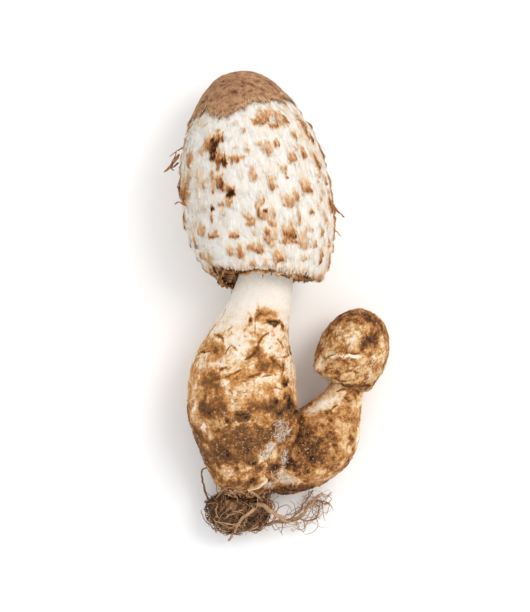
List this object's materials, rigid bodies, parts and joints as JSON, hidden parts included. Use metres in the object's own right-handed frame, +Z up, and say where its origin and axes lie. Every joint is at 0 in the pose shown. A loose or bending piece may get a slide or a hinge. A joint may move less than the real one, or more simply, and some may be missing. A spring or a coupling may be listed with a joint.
{
  "type": "shaggy ink cap",
  "caption": "Shaggy ink cap mushroom with a closed bell cap, swollen stem, a young one grown from its foot, and soil and roots, lying down as picked.",
  "frame": {"origin": "on the surface that the mushroom lies on, under the middle of the whole clump", "axes": "+Z up from the surface, +Y along the grown mushroom towards the top of its cap, +X towards the young one"},
  "size_m": [0.087, 0.1818, 0.0569],
  "materials": {
    "white_shag": "matte",
    "crown_skin": "matte",
    "gill_flesh": "matte",
    "torn_veil": "matte",
    "stem_flesh": "matte",
    "young_flesh": "matte",
    "young_skin": "matte",
    "root": "matte",
    "soil": "matte"
  },
  "bodies": {
    "root": {"cap": "white_shag", "cap_crown": "crown_skin", "gills": "gill_flesh", "veil_edge": "torn_veil", "stem": "stem_flesh", "young_stem": "young_flesh", "young_cap": "young_skin", "roots": "root", "soil_clod": "soil"}
  },
  "joints": []
}
